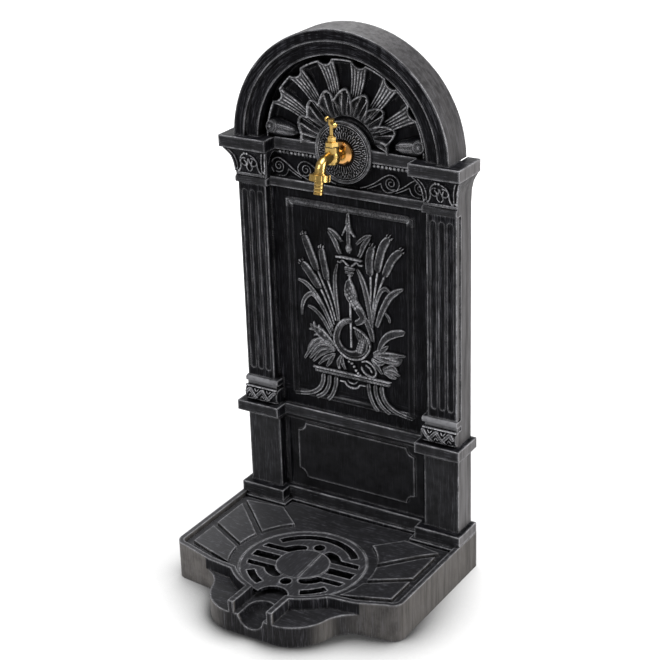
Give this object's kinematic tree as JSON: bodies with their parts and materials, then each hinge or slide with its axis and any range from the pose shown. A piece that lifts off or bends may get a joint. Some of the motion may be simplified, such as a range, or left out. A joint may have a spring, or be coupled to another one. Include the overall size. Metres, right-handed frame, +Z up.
{
  "type": "garden water fountain",
  "caption": "Upright garden tap fountain: arched column with fluted pilasters on a rimmed tray with a lift-out drain grate and a brass screw-down tap",
  "frame": {"origin": "middle of the footprint, on the ground", "axes": "+Z up, front towards -Y, the flat back towards +Y, +X to the right"},
  "size_m": [0.408, 0.34, 0.8486],
  "materials": {
    "antique_black": "satin",
    "brass": "satin",
    "black_rubber": "matte",
    "hose": "satin",
    "steel": "brushed"
  },
  "bodies": {
    "fountain": {"column_shell": "antique_black", "base_tray": "antique_black", "tap_rosette": "antique_black", "column_screws": "steel", "tap_wall_flange": "brass", "tap_body": "brass", "tap_bonnet": "brass", "gland_nut": "brass", "spout_union_nut": "brass", "hose_tail": "brass", "tap_back_nut": "brass", "elbow_connector": "brass", "inlet_nipple": "brass", "inlet_lock_nut": "brass", "bonnet_seal": "black_rubber", "gland_packing": "black_rubber", "hose_tail_washer": "black_rubber", "tap_back_washer": "black_rubber", "elbow_seal": "black_rubber", "riser_hose": "hose", "hose_clamps": "steel", "clamp_screws": "steel", "inlet_bracket": "steel", "bracket_screws": "steel"},
    "grate": {"drain_grate": "antique_black"},
    "jumper": {"jumper_valve": "brass", "jumper_washer": "black_rubber", "jumper_nut": "brass"},
    "spindle": {"tap_spindle": "brass", "tee_handle": "brass", "handle_screw": "brass"}
  },
  "joints": [
    {"name": "grate_lift", "type": "slide", "parent": "fountain", "child": "grate", "axis": [0, 0, 1], "range_m": [0, 0.1]},
    {"name": "jumper_lift", "type": "slide", "parent": "fountain", "child": "jumper", "axis": [0, 0, 1], "range_m": [0, 0.005]},
    {"name": "spindle_turn", "type": "hinge", "parent": "jumper", "child": "spindle", "pos_m": [0, 0.1, 0.7], "axis": [0, 0, 1], "range_deg": [0, 900]}
  ],
  "couplings": [
    {"joint": "jumper_lift", "follows": "spindle_turn", "m_per_rad": 0.00031828}
  ]
}
